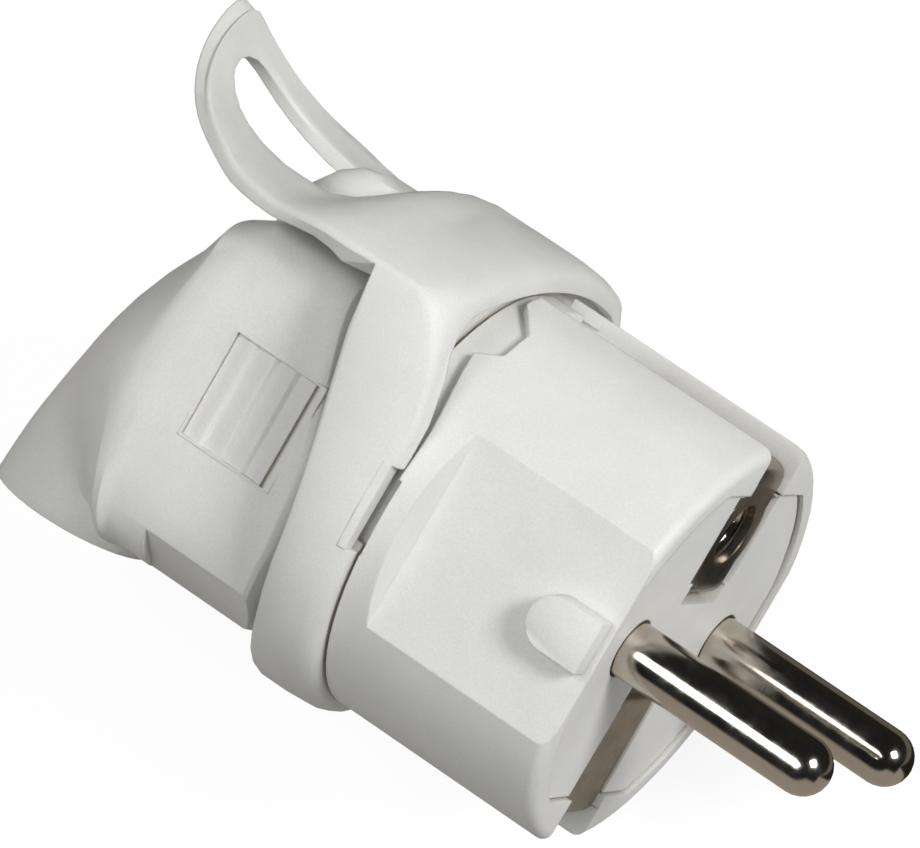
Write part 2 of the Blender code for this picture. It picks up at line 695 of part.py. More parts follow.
def loop_top(x):
    """Height of the loop's upper face over the middle plane: a saddle behind the collar, then the curl."""
    height = mix(COLLAR_CROWN_Y, SADDLE_Y, blend(-SADDLE_START_X, -SADDLE_END_X, -x))
    along = min(max((CURL_START_X - x) / (CURL_START_X - LOOP_TIP_X + 0.00005), 0.0), 1.0)
    return height + CURL_HEIGHT * (1 - math.sqrt(1 - along**2))


def crown_share(x):
    """How much of the collar's top arc the loop still has at a place along it."""
    share = mix(1.0, SADDLE_CROWN_SHARE, blend(-SADDLE_START_X, -SADDLE_END_X, -x))
    return share * (1 - blend(-CURL_START_X, -CURL_FLAT_X, -x))


def edge_drop(distance, radius):
    """How far a rounded edge falls away at a distance from it."""
    short = max(radius - distance, 0.0)
    return radius - math.sqrt(radius**2 - short**2)


def collar_rows():
    """Outer and inner rows of the collar, from its lip to its rear edge."""
    lip = (0.0, 0.03, 0.1, 0.25, 0.55, 1.0)
    inner = collar_outline(INNER_CORNER_RADIUS, COLLAR_WALL)
    lip_inner = collar_outline(LIP_CORNER - COLLAR_WALL, COLLAR_WALL)
    outer_rows, inner_rows = [], []
    for share in lip:
        corner = mix(LIP_CORNER, SHOULDER_RADIUS, share)
        inset = LIP_INSET * (1 - math.sqrt(1 - (1 - share) ** 2.2))
        back = LIP_LENGTH * share**1.3
        outline = collar_outline(corner, inset)
        outer_rows.append([(collar_front_x(y) - back, y, z) for y, z in outline])
        ring = [(mix(a[0], b[0], share), mix(a[1], b[1], share)) for a, b in zip(lip_inner, inner)]
        inner_rows.append([(collar_front_x(a[0]) - back, y, z) for a, (y, z) in zip(outline, ring)])
    flush = collar_outline(SHOULDER_RADIUS, 0.0)
    drawn_in = collar_outline(SHOULDER_RADIUS, REAR_EDGE_RADIUS)
    for back, share in ((REAR_EDGE_RADIUS, 0.0), (REAR_EDGE_RADIUS * 0.3, 0.3), (0.0, 1.0)):
        outer_row, inner_row = [], []
        for j, (a, b) in enumerate(zip(flush, drawn_in)):
            fade = min(max((SHOULDER - j) / 3, 0.0), 1.0)
            y, z = mix(a[0], b[0], share * fade), mix(a[1], b[1], share * fade)
            outer_row.append((collar_rear_x(a[0]) + back, y, z))
            inner_row.append((collar_rear_x(a[0]) + back, *inner[j]))
        outer_rows.append(outer_row)
        inner_rows.append(inner_row)
    return outer_rows, inner_rows


def loop_chains(rows=24, before=4, after=4):
    """Matching places along the loop's outer edge and round half the finger hole, as (outer, rings) pairs.

    On the middle line, in front of the hole and behind it, the three rings of its rounded edge are one point.
    """
    middle, half = (HOLE_FRONT_X + HOLE_REAR_X) / 2, (HOLE_FRONT_X - HOLE_REAR_X) / 2
    length = LOOP_START_X - LOOP_TIP_X
    power = 2 / HOLE_SQUARENESS
    edge = LOOP_EDGE_RADIUS
    pairs = []
    for i in range(1, rows + 1):
        t = math.pi / 2 * i / rows
        x = LOOP_START_X - length * math.sin(t) ** (2 / LOOP_TAPER)
        drawn_in = 1 - LOOP_NARROWING * blend(-SADDLE_START_X, -SADDLE_END_X, -x)
        outer = (x, COLLAR_RADIUS * math.cos(t) * drawn_in)
        if i == rows:
            outer = (LOOP_TIP_X, 0.0)
        if i < before:
            x = mix(LOOP_START_X, HOLE_FRONT_X + edge, i / before)
            rings = [(x, 0.0)] * 3
        elif i > rows - after:
            x = mix(HOLE_REAR_X - edge, LOOP_TIP_X, (i - rows + after) / after)
            rings = [(x, 0.0)] * 3
        else:
            share = (i - before) / (rows - after - before)
            c, s = math.cos(math.pi * share), math.sin(math.pi * share)
            if share in (0.0, 1.0):
                s = 0.0
            rings = []
            for out in (edge, edge * 0.3, 0.0):
                along = math.copysign(abs(c) ** power, c)
                rings.append((middle + (half + out) * along, (HOLE_HALF_WIDTH + out) * s**power))
        pairs.append((outer, rings))
    return pairs


def loop_rows():
    """Upper and lower rows of the loop behind the collar's rear edge."""
    upper, lower = [], []
    corner = [SHOULDER_RADIUS * (1 - math.cos(math.pi / 2 * j / CORNER_POINTS)) for j in range(CORNER_POINTS)]
    plain = CORNER_POINTS + CROWN_POINTS - 1 - len(corner) - 3
    for outer, rings in loop_chains():
        length = math.dist(outer, rings[0])
        reaches = [min(reach, length * (j + 0.001) / 12) for j, reach in enumerate(corner)]
        reaches[0] = 0.0
        reaches += [mix(reaches[-1], length, (j + 1) / (plain + 1)) for j in range(plain)]
        places = [toward(outer, rings[0], reach) if length > 0 else outer for reach in reaches]
        drops = [edge_drop(reach, SHOULDER_RADIUS) for reach in reaches]
        open_edge = rings[0] != rings[2]
        places += rings
        for out in (LOOP_EDGE_RADIUS, LOOP_EDGE_RADIUS * 0.3, 0.0):
            reach, radius = (out, LOOP_EDGE_RADIUS) if open_edge else (length, SHOULDER_RADIUS)
            drops.append(edge_drop(reach, radius))
        top_row, under_row = [], []
        for (x, z), drop in zip(places, drops):
            y = loop_top(x) - crown_share(x) * (COLLAR_CROWN_Y - crown_y(z))
            step = 1e-5
            slope = (loop_top(x + step) - loop_top(x - step)) / (2 * step)
            across = -crown_share(x) * z / math.sqrt(COLLAR_CROWN_RADIUS**2 - z**2)
            size = math.sqrt(1 + slope**2 + across**2)
            deep = mix(COLLAR_WALL, LOOP_THICKNESS, blend(-LOOP_START_X, -SADDLE_END_X, -x))
            top_row.append((x, y - drop, z))
            under_z = max(z + deep * across / size, 0.0) if z > 0 else 0.0
            under_row.append((x + deep * slope / size, y - deep / size, under_z))
        upper.append(top_row)
        lower.append(under_row)
    return upper, lower


def add_faces(work, points_a, points_b, flip=False):
    """Quads between two rows of vertices, leaving out those that lie flat in the mirror plane."""
    for a, b, c, d in zip(points_a, points_a[1:], points_b[1:], points_b):
        corners = list(dict.fromkeys((a, b, c, d)))
        if len(corners) < 3 or all(abs(v.co.z) < 1e-9 for v in corners):
            continue
        work.faces.new(reversed(corners) if flip else corners)


def pull_handle():
    """The collar and the finger loop: one half is lofted as a closed wall, and the other mirrors it."""
    outer_rows, inner_rows = collar_rows()
    upper, lower = loop_rows()
    work = bmesh.new()
    known = {}

    def vertex(point):
        key = tuple(round(v * 1e7) for v in point)
        if key not in known:
            known[key] = work.verts.new(point)
        return known[key]

    outer = [[vertex(point) for point in row] for row in outer_rows]
    inner = [[vertex(point) for point in row] for row in inner_rows]
    top = [outer[-1][SHOULDER:]] + [[vertex(point) for point in row] for row in upper]
    under = [inner[-1][SHOULDER:]] + [[vertex(point) for point in row] for row in lower]
    for row, after in zip(outer, outer[1:]):
        add_faces(work, row, after)
    for row, after in zip(inner, inner[1:]):
        add_faces(work, row, after, flip=True)
    for row, after in zip(top, top[1:]):
        add_faces(work, row, after)
    for row, after in zip(under, under[1:]):
        add_faces(work, row, after, flip=True)
    add_faces(work, inner[0], outer[0])
    add_faces(work, outer[-1][: SHOULDER + 1], inner[-1][: SHOULDER + 1])
    add_faces(work, [row[0] for row in top], [row[0] for row in under])
    add_faces(work, [row[-1] for row in under], [row[-1] for row in top])
    mesh = bpy.data.meshes.new("pull_handle")
    work.to_mesh(mesh)
    work.free()
    handle = add_mesh("pull_handle", mesh)
    mirror = handle.modifiers.new("other half", "MIRROR")
    mirror.use_axis = (False, False, True)
    mirror.merge_threshold = 1e-5

    half = collar_outline(INNER_CORNER_RADIUS, COLLAR_WALL / 2)
    rim = half + [(y, -z) for y, z in reversed(half[1:-1])]
    neck = neck_outline(HOOD_WALL - WINDOW_GAP)
    flange = plate("handle_flange", "X", [rim, neck], FLANGE_REAR_X, FLANGE_FRONT_X)
    boolean(handle, flange, "UNION")
    for side in (-1, 1):
        boolean(handle, rim_slot("handle_lip_slot", side, COLLAR_FRONT_X + 0.001, SPIGOT_RADIUS))
    return dress(handle, "white")


def neck_outline(inset):
    """The hood's neck in (y, z), where it stands inside the collar."""
    middle, half = (NECK_TOP_Y + NECK_BOTTOM_Y) / 2, (NECK_TOP_Y - NECK_BOTTOM_Y) / 2
    return superellipse((middle, 0), half - inset, NECK_HALF_WIDTH - inset, NECK_SQUARENESS, HOOD_POINTS)


def hood_ring(degrees, inset):
    """One ring of the hood: a rounded section in the half plane that leans back about the elbow."""
    angle = math.radians(degrees)
    s, c = math.sin(angle), math.cos(angle)
    heel = mix(HOOD_BOTTOM_Y - EXIT_Y, EXIT_HEEL, degrees / 90)
    top = (HOOD_TOP_Y - EXIT_Y) / max(c, 1e-3)
    span = ELBOW_X - HOOD_BACK_LOW_X
    back = span * HOOD_BACK_RISE / (s * HOOD_BACK_RISE + c * HOOD_BACK_LEAN)
    back += HOOD_BACK_BULGE * math.sin(2 * angle)
    sharp = HOOD_CORNER_SHARPNESS
    reach = (top**-sharp + back**-sharp) ** (-1 / sharp)
    width = mix(HOOD_HALF_WIDTH, EXIT_RADIUS, blend(WAIST_START, WAIST_END, degrees)) - inset
    upper = mix(CHEEK_SQUARENESS, SHOULDER_SQUARENESS, blend(0.0, CHEEK_END, degrees))
    upper = mix(upper, 2.0, blend(CHEEK_END, WAIST_END, degrees))
    lower = mix(SOLE_SQUARENESS, 2.0, blend(WAIST_START, WAIST_END, degrees))
    middle, half = (heel + reach) / 2, (reach - heel) / 2 - inset
    section = superellipse((middle, 0), half, width, upper, HOOD_POINTS, lower)
    return [(ELBOW_X - r * s, EXIT_Y + r * c, z) for r, z in section]


def hood_rings(inset, steps=HOOD_TURN_STEPS):
    """Rings from the neck, up the fall behind the collar's rear edge, and round the elbow to the way out."""
    neck = neck_outline(inset)
    body = hood_ring(0.0, inset)
    rings = [[(NECK_FRONT_X, y, z) for y, z in neck]]
    for share in (0.0, 0.08, 0.25, 0.55, 1.0):
        rise = math.sqrt(1 - (1 - share) ** 2)
        ring = []
        for (neck_y, neck_z), (_, y, z) in zip(neck, body):
            length = mix(FALL_LOW, FALL_HIGH, blend(-0.007, 0.017, y))
            x = collar_rear_x(y) - HOOD_SET_BACK - length * share - inset
            ring.append((x, mix(neck_y, y, rise), mix(neck_z, z, rise)))
        rings.append(ring)
    rings += [hood_ring(90.0 * i / steps, inset) for i in range(steps + 1)]
    return rings


def loft(name, rings, solid):
    """Rings joined in order: a solid with capped ends, or a wall whose last ring meets the first again."""
    work = bmesh.new()
    grid = [[work.verts.new(point) for point in ring] for ring in rings]
    for ring, after in zip(grid, grid[1:] if solid else grid[1:] + grid[:1]):
        for j in range(len(ring)):
            k = (j + 1) % len(ring)
            work.faces.new((ring[j], after[j], after[k], ring[k]))
    if solid:
        work.faces.new(grid[0])
        work.faces.new(reversed(grid[-1]))
    mesh = bpy.data.meshes.new(name)
    work.to_mesh(mesh)
    work.free()
    return add_mesh(name, mesh)


def hood_dome():
    """The rounded boss on the roof at the front of the finger hole: steep in front and long behind."""
    work = bmesh.new()
    bmesh.ops.create_uvsphere(work, u_segments=20, v_segments=10, radius=1.0)
    bmesh.ops.transform(work, matrix=frame_of("Y"), verts=work.verts)
    for vertex in work.verts:
        x, y, z = vertex.co
        along = DOME_FRONT_LENGTH * x**DOME_BLUNTNESS if x > 0 else DOME_REAR_LENGTH * x
        vertex.co = (DOME_X + along, DOME_Y + DOME_HEIGHT * y, DOME_HALF_WIDTH * z)
    mesh = bpy.data.meshes.new("hood_dome")
    work.to_mesh(mesh)
    work.free()
    return add_mesh("hood_dome", mesh)


def rear_cover():
    """The hood as a lofted wall, with a boss on its roof and a tube through it for its screw."""
    inner = hood_rings(HOOD_WALL, HOOD_INNER_STEPS)
    hood = loft("rear_cover", hood_rings(0.0) + inner[::-1], False)
    bevel(hood, 0.0006, 2, 60)
    boolean(hood, hood_dome(), "UNION")
    for side in (-1, 1):
        boolean(hood, chamfer_cutter(side))
        boolean(hood, grip_cutter(side))
    centre = (HOUSING_SCREW_Y, 0)
    head_way = HOUSING_SCREW_HEAD / 2 + SEAT_GAP
    front = HOUSING_SEAT_X + HOUSING_SEAT_THICKNESS
    tube = rod("hood_tube", "X", centre, head_way + TUBE_WALL, -0.06, front)
    core = loft("hood_core", hood_rings(HOOD_WALL / 2), True)
    boolean(tube, core, "INTERSECT")
    tube = as_mesh(tube)
    boolean(hood, tube, "UNION")
    boolean(hood, rod("hood_head_way", "X", centre, head_way, -0.065, HOUSING_SEAT_X))
    screw_way = HOUSING_SCREW_DIAMETER / 2 + SEAT_GAP
    boolean(hood, rod("hood_screw_way", "X", centre, screw_way, HOUSING_SEAT_X - 0.001, front + 0.001, 20))
    return dress(hood, "white")


def chamfer_cutter(side):
    """A wedge that takes a sloping band off the lower edge of one cheek."""
    z = HOOD_HALF_WIDTH - 2 * CHAMFER_LEDGE
    slope = math.radians(CHAMFER_SLOPE)
    reach = 0.012
    low_y = CHAMFER_Y - CHAMFER_LEDGE - reach * math.cos(slope)
    low_z = z - CHAMFER_LEDGE - reach * math.sin(slope)
    outline = [
        (CHAMFER_Y, side * z),
        (CHAMFER_Y, side * (z + 0.004)),
        (low_y, side * (z + 0.004)),
        (low_y, side * low_z),
        (CHAMFER_Y - CHAMFER_LEDGE, side * (z - CHAMFER_LEDGE)),
    ]
    return plate(f"hood_chamfer_{side}", "X", [outline], CHAMFER_REAR_X, CHAMFER_FRONT_X)


def grip_cutter(side):
    """Grooves that leave the grip's ribs standing, as one cutter of separate bars."""
    pitch = (PAD_FRONT_X - PAD_REAR_X) / (PAD_GROOVES - 1 + PAD_GROOVE_SHARE)
    floor = HOOD_HALF_WIDTH - PAD_DEPTH
    name = f"hood_grip_{side}"
    work = bmesh.new()
    for i in range(PAD_GROOVES):
        made = bmesh.ops.create_cube(work, size=1.0)["verts"]
        size = Matrix.Diagonal((pitch * PAD_GROOVE_SHARE, 2 * PAD_HALF_HEIGHT, 0.004, 1.0))
        x = PAD_REAR_X + pitch * (i + PAD_GROOVE_SHARE / 2)
        place = Matrix.Translation((x, 0, side * (floor + 0.002)))
        bmesh.ops.transform(work, matrix=place @ size, verts=made)
    mesh = bpy.data.meshes.new(name)
    work.to_mesh(mesh)
    work.free()
    return add_mesh(name, mesh)


def housing_fasteners():
    seat = HOUSING_SEAT_X - SEAT_GAP
    tip = POST_REAR_X + HOUSING_NUT_THICKNESS + 0.003
    centre = (HOUSING_SCREW_Y, 0.0)
    slotted_screw(
        "housing_screw",
        "X",
        centre,
        seat,
        tip - seat,
        HOUSING_SCREW_DIAMETER,
        HOUSING_SCREW_HEAD,
        HOUSING_SCREW_HEIGHT,
    )
    rim = arc(centre, NUT_RADIUS, 30, 330, 6)
    hole = arc(centre, HOUSING_SCREW_DIAMETER / 2 + WINDOW_GAP, 0, 342, 20)
    nut = plate("housing_nut", "X", [rim, hole], POST_REAR_X, POST_REAR_X + HOUSING_NUT_THICKNESS)
    return dress(nut, "steel")


def cord_clamp():
    """The arched saddle that grips the cable's sheath, with its two screws."""
    low = SHELF_TOP_Y + CLAMP_BOSS_HEIGHT + SEAT_GAP
    high = low + CORD_CLAMP_THICKNESS
    half = CORD_CLAMP_HALF_LENGTH
    steps = [CLAMP_ARCH_HALF_WIDTH * (i / 4 - 1) for i in range(9)]
    rise = [CLAMP_ARCH_RISE * math.cos(math.pi / 2 * z / CLAMP_ARCH_HALF_WIDTH) ** 0.7 for z in steps]
    under = [(low + up, z) for z, up in zip(steps, rise)]
    over = [(high + up * 0.6, z) for z, up in zip(steps, rise)]
    outline = [(low, -half)] + under + [(low, half), (high, half)] + over[::-1] + [(high, -half)]
    rear, front = CORD_CLAMP_X - CORD_CLAMP_WIDTH / 2, CORD_CLAMP_X + CORD_CLAMP_WIDTH / 2
    saddle = plate("cord_clamp", "X", [outline], rear, front)
    for name, side in (("left", 1), ("right", -1)):
        place = (side * CORD_CLAMP_SCREW_Z, CORD_CLAMP_X)
        radius = CORD_SCREW_DIAMETER / 2 + WINDOW_GAP
        boolean(saddle, rod(f"cord_clamp_hole_{name}", "Y", place, radius, low - 0.001, high + 0.002, 16))
        slotted_screw(
            f"cord_clamp_screw_{name}",
            "Y",
            place,
            high + SEAT_GAP,
            CORD_CLAMP_THICKNESS + CLAMP_BOSS_HEIGHT + SHELF_THICKNESS,
            CORD_SCREW_DIAMETER,
            CORD_SCREW_HEAD,
            CORD_SCREW_HEIGHT,
            way=-1,
        )
    return dress(saddle, "white")


def cable_bush():
    """A soft ring in the cable's way out, turned about an axis along Y."""
    outer = EXIT_RADIUS - HOOD_WALL - SEAT_GAP
    bore = BUSH_BORE / 2
    low = EXIT_Y + BUSH_SET_BACK
    high = low + BUSH_LENGTH
    soft = 0.0005
    profile = [(low, outer), (low, bore + soft), (low + soft, bore), (high - soft, bore)]
    profile += [(high, bore + soft), (high, outer - BUSH_TAPER)]
    bush = turned("cable_bush", profile)
    middle_x = (ELBOW_X - EXIT_HEEL + HOOD_BACK_LOW_X) / 2
    bush.matrix_world = Matrix.Translation((middle_x, 0, 0)) @ frame_of("Y")
    return dress(bush, "rubber")


def build():
    front_shell()
    contact_carrier()
    mains_pin("live_pin", 1)
    mains_pin("neutral_pin", -1)
    earth_contact()
    earth_socket()
    terminal("live", (0.0, PIN_Z), TERMINAL_REAR_X)
    terminal("neutral", (0.0, -PIN_Z), TERMINAL_REAR_X)
    terminal("earth", (EARTH_SOCKET_Y, 0.0), SLEEVE_REAR_X)
    pull_handle()
    rear_cover()
    housing_fasteners()
    cord_clamp()
    cable_bush()


clear_scene()
PARTS = new_collection("angled_plug")
CUTTERS = new_collection("cutters")
build()
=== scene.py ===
"""An angled mains plug with a pull handle, lying on a white table in a small studio."""
import math

import bmesh
import bpy
from mathutils import Matrix, Vector


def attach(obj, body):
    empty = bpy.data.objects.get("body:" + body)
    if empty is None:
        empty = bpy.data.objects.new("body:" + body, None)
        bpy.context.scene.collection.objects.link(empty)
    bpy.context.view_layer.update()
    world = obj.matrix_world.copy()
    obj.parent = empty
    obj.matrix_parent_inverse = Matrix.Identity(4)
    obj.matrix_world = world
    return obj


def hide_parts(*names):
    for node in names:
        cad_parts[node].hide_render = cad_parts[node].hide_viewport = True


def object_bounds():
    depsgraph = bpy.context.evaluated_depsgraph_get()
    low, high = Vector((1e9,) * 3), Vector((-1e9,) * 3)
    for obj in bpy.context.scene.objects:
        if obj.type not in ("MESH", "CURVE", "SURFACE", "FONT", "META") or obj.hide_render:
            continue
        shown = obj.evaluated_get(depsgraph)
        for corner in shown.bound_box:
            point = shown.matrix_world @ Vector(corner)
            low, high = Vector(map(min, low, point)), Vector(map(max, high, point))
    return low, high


# Lengths are in metres and angles in degrees, unless a comment says otherwise.

# Camera, solved from the pins' known size.
CAMERA_PLACE = (0.1975541, 0.1448086, 0.6574064)
CAMERA_RIGHT = (0.78827, 0.49137, -0.370387)
CAMERA_UP = (-0.529496, 0.848311, -0.001488)
CAMERA_BACK = (0.313472, 0.197291, 0.928876)
CAMERA_CLIP = (0.05, 20.0)
SENSOR_WIDTH = 36.0  # millimetres
FOCAL_PIXELS = 9000.0
IMAGE_WIDTH = 920

# Table and room. The colours are linear.
FLOOR_GAP = 0.00005
FLOOR_HALF_SIDE = 4.0
FLOOR_GLOW = 0.86
FLOOR_COLOUR = (0.24, 0.24, 0.24)
FLOOR_BOUNCE = (0.6, 0.6, 0.59)
BACKGROUND = 1.0
AMBIENT = 0.19

# What the metal reflects, as painted reflections that glow only for glossy rays: a dull table
# with bands across it, and a dull wall on one side.
PAINTED_REFLECTION_TAN = (0.34, 0.31, 0.27)
PAINTED_REFLECTION_HALF = (0.15, 0.135, 0.115)
PAINTED_REFLECTION_BLACK = (0.02, 0.018, 0.015)
PAINTED_REFLECTION_DARK = (0.015, 0.015, 0.015)
PAINTED_REFLECTION_SPAN = (-0.02, 0.04)
# Painted reflection: the glowing bands across the table, each by its place across it and its
# colour.
PAINTED_REFLECTION_BANDS = (
    (-0.0058, PAINTED_REFLECTION_TAN),
    (-0.0045, PAINTED_REFLECTION_BLACK),
    (0.0050, PAINTED_REFLECTION_BLACK),
    (0.0070, PAINTED_REFLECTION_HALF),
    (0.0150, PAINTED_REFLECTION_HALF),
    (0.0200, PAINTED_REFLECTION_BLACK),
)
# The edges of the wall in the painted reflection.
WALL_EDGE_Y = (-0.50, -0.36)  # directions, as parts of 1
WALL_TOP_Z = (0.52, 0.66)

# Lamps: name, direction from the plug, size of the soft box, power in watts.
LAMP_DISTANCE = 0.95
LAMPS = (
    ("top_lamp", (-0.20, 0.10, 0.97), (0.36, 0.62), 3.7),
    ("front_lamp", (0.65, 0.56, 0.52), (0.30, 0.30), 6.0),
)

# The collar's lip, as the handle has it: its front edge sweeps back towards the loop.
COLLAR_RADIUS = 0.0200
LIP_FRONT_X = -0.0203
LIP_SWEEP = 0.0023
LIP_SWEEP_LOW_Y = 0.0055
LIP_SWEEP_HIGH_Y = 0.017
LIP_INSET = 0.0016
LIP_LENGTH = 0.0034
LIP_SPREAD = 1.3  # powers of the lip's rounded profile
LIP_FULLNESS = 2.2

# The shell's rear skirt, which follows the sweep of the lip. Each strip has the share of
# the inner radius at its foot, and its (angle from the cheek, share of the way to the lip).
SHELL_RADIUS = 0.01835
SHELL_REAR_X = -0.0200
SHELL_STEPS = 64
SKIRT_INNER_RADIUS = 0.0172
SKIRT_OVERLAP = 0.0006
SKIRT_EDGE_OVERLAP = SKIRT_OVERLAP / 4
SKIRT_GAP = 0.00008
SKIRT_LEAST_LENGTH = 0.00001
SKIRT_LEAST_ANGLE = 0.2
SKIRT_STRIPS = (
    (0.99, ((8.5, 1.0), (46.0, 1.0), (50.5, 0.0))),
    (1.0, ((60.0, 0.0), (71.0, 1.0), (78.2, 1.0))),
)

# The finger slot under the lip at each cheek: shorter than the cut, with a floor.
SLOT_LOW_Y = -0.0039
SLOT_HIGH_Y = 0.0036
SLOT_REAR_X = -0.0214
SLOT_FLOOR_Z = 0.0168
SLOT_FLOOR_THICKNESS = 0.0012
SLOT_FLOOR_REAR = 0.0004  # how far the floor goes past the slot, and into the shell
SLOT_FLOOR_SIDE = 0.0006
SLOT_FLOOR_FRONT = 0.0012

# The filling that shortens the slot from the rear.
FILLING_FRONT_X = -0.0208
FILLING_OVERLAP = 0.0001
FILLING_SINK = 0.00001
FILLING_DEPTH = 0.0021
FILLING_STEPS_X = 4
FILLING_STEPS_Y = 12

# The grip pads on the hood's cheeks: four saw teeth in a shallow recess.
CHEEK_Z = 0.0150
PAD_FRONT_X = -0.0306
PAD_REAR_X = -0.03875
PAD_HALF_HEIGHT = 0.0046
PAD_FLOOR = 0.00046
PAD_CUT_REACH = 0.001
PAD_BACKING = 0.0012  # thickness of the block that fills the plain grooves, and its margins
PAD_BACKING_MARGIN = 0.0002
PAD_BACKING_FRONT = 0.0006

# The saw teeth. The shares are of a tooth's pitch or crest, and of its depth.
TEETH = 4
TEETH_OVERLAP = 0.0001
TEETH_ROOT = 0.0003
TOOTH_DEPTH = 0.00034
TOOTH_CREST = 0.00034
TOOTH_FOOT_RUN = 0.00006
TOOTH_MIDDLE = (0.5, 0.62)
TOOTH_TOP_SHARE = 0.10
TOOTH_DROP = (0.80, 0.14)
LAST_TOOTH_SHARE = 0.3

SMOOTH_ANGLE = 27
MERGE_DISTANCE = 1e-6

# Finishes. Colours are linear, noises are (feature size, detail, roughness), bumps are
# (depth, strength), and the other pairs are the spans from which or to which a value goes.
NOISE_SPAN = (0.3, 0.7)
BLOTCH_SPAN = (0.35, 0.7)
BLOTCH_SHARE = (0.0, 0.8)
BEVEL_SAMPLES = 6
# Painted shade in seams: the samples and reach of the ambient occlusion that darkens them.
CREASE_SAMPLES = 8
CREASE_REACH = 0.0011
EDGE_ROUNDING = 0.00022

PLASTIC_NODES = ("front_shell", "contact_carrier", "rear_cover", "pull_handle", "cord_clamp")
PLASTIC = (0.80, 0.80, 0.775)
# Painted shade: the darker, browner colour that seams and inner corners go to.
PLASTIC_PAINTED_SHADE = (0.56, 0.50, 0.41)
PLASTIC_MEAN_ROUGHNESS = 0.45
PLASTIC_SPECULAR = 0.42
PLASTIC_GRAIN_SIZE = 0.00016
PLASTIC_MOTTLE = (0.0045, 4.0, 0.5)
PLASTIC_MOTTLE_TONE = (0.975, 1.02)
PLASTIC_SPECKLE = (PLASTIC_GRAIN_SIZE, 2.0, 0.6)
PLASTIC_SPECKLE_TONE = (0.955, 1.04)
# How the painted shade in seams follows the ambient occlusion.
PLASTIC_SHADE_SPAN = (0.25, 0.75)
PLASTIC_SHADE_SHARE = (0.55, 0.0)
PLASTIC_GLOSS = (0.0012, 3.0, 0.5)
PLASTIC_ROUGHNESS = (0.40, 0.52)
PLASTIC_WAVES = (0.009, 2.0, 0.5)
PLASTIC_WAVES_BUMP = (0.00025, 0.5)
PLASTIC_GRAIN = (PLASTIC_GRAIN_SIZE, 3.0, 0.6)
PLASTIC_GRAIN_BUMP = (0.00002, 0.55)

NICKEL_NODES = ("live_pin", "neutral_pin", "earth_socket")
NICKEL = (0.67, 0.62, 0.55)
# Partly stain and partly painted reflection of the plastic, browner towards the pins' root.
NICKEL_STAIN_AND_REFLECTION = (0.50, 0.43, 0.34)
NICKEL_MEAN_ROUGHNESS = 0.14
NICKEL_ROOT_X = (0.0002, 0.0042)
NICKEL_ROOT_SHARE = (0.75, 0.0)
NICKEL_BLOTCH = (0.0022, 5.0, 0.65)
NICKEL_BLOTCH_SPAN = (0.38, 0.62)
NICKEL_CLOUD = (0.0030, 4.0, 0.5)
NICKEL_CLOUD_TONE = (0.95, 1.05)
NICKEL_SMEAR = (0.0016, 5.0, 0.7)
NICKEL_SMEAR_SPAN = (0.35, 0.75)
NICKEL_ROUGHNESS = (0.09, 0.24)
NICKEL_TURNING = (0.001, 4.0, 0.7)
NICKEL_TURNING_STRETCH = (9.0, 0.35, 0.35)
NICKEL_TURNING_BUMP = (0.000006, 0.5)
NICKEL_SCRATCHES = (0.001, 3.0, 0.6)
NICKEL_SCRATCHES_STRETCH = (0.25, 9.0, 9.0)
NICKEL_SCRATCHES_BUMP = (0.000004, 0.4)
NICKEL_ROUNDING = 0.00015

STRIP_NODES = ("earth_contact",)
STRIP = (0.47, 0.42, 0.36)
STRIP_STAIN = (0.30, 0.26, 0.21)
STRIP_MEAN_ROUGHNESS = 0.34
STRIP_BLOTCH = (0.0026, 5.0, 0.65)
STRIP_LINES = (0.001, 4.0, 0.65)
STRIP_LINES_STRETCH = (7.0, 0.25, 7.0)
STRIP_LINES_TONE = (0.88, 1.10)
STRIP_LINES_SPAN = (0.3, 0.75)
STRIP_LINES_BUMP = (0.00001, 0.6)
STRIP_ROUGHNESS = (0.26, 0.42)
STRIP_ROUNDING = 0.00018

ZINC = (0.58, 0.59, 0.60)
ZINC_DULL = (0.40, 0.41, 0.42)
ZINC_MEAN_ROUGHNESS = 0.35
ZINC_BLOTCH = (0.0011, 5.0, 0.6)
ZINC_GLOSS = (0.0005, 4.0, 0.5)
ZINC_ROUGHNESS = (0.28, 0.46)
ZINC_GRAIN = (0.00025, 4.0, 0.5)
ZINC_GRAIN_BUMP = (0.000012, 0.5)
ZINC_ROUNDING = 0.00015

RUBBER_NODES = ("cable_bush",)
RUBBER = (0.62, 0.62, 0.60)
RUBBER_MEAN_ROUGHNESS = 0.7
RUBBER_DUST = (0.0015, 5.0, 0.6)
RUBBER_DUST_TONE = (0.90, 1.06)
# How the painted shade in the bush's seams follows the ambient occlusion.
RUBBER_SHADE_SPAN = (0.2, 0.8)
RUBBER_SHADE_SHARE = (0.5, 0.0)
RUBBER_GLOSS = (0.0008, 3.0, 0.5)
RUBBER_ROUGHNESS = (0.62, 0.8)
RUBBER_GRAIN = (0.00022, 3.0, 0.5)
RUBBER_GRAIN_BUMP = (0.00003, 0.6)


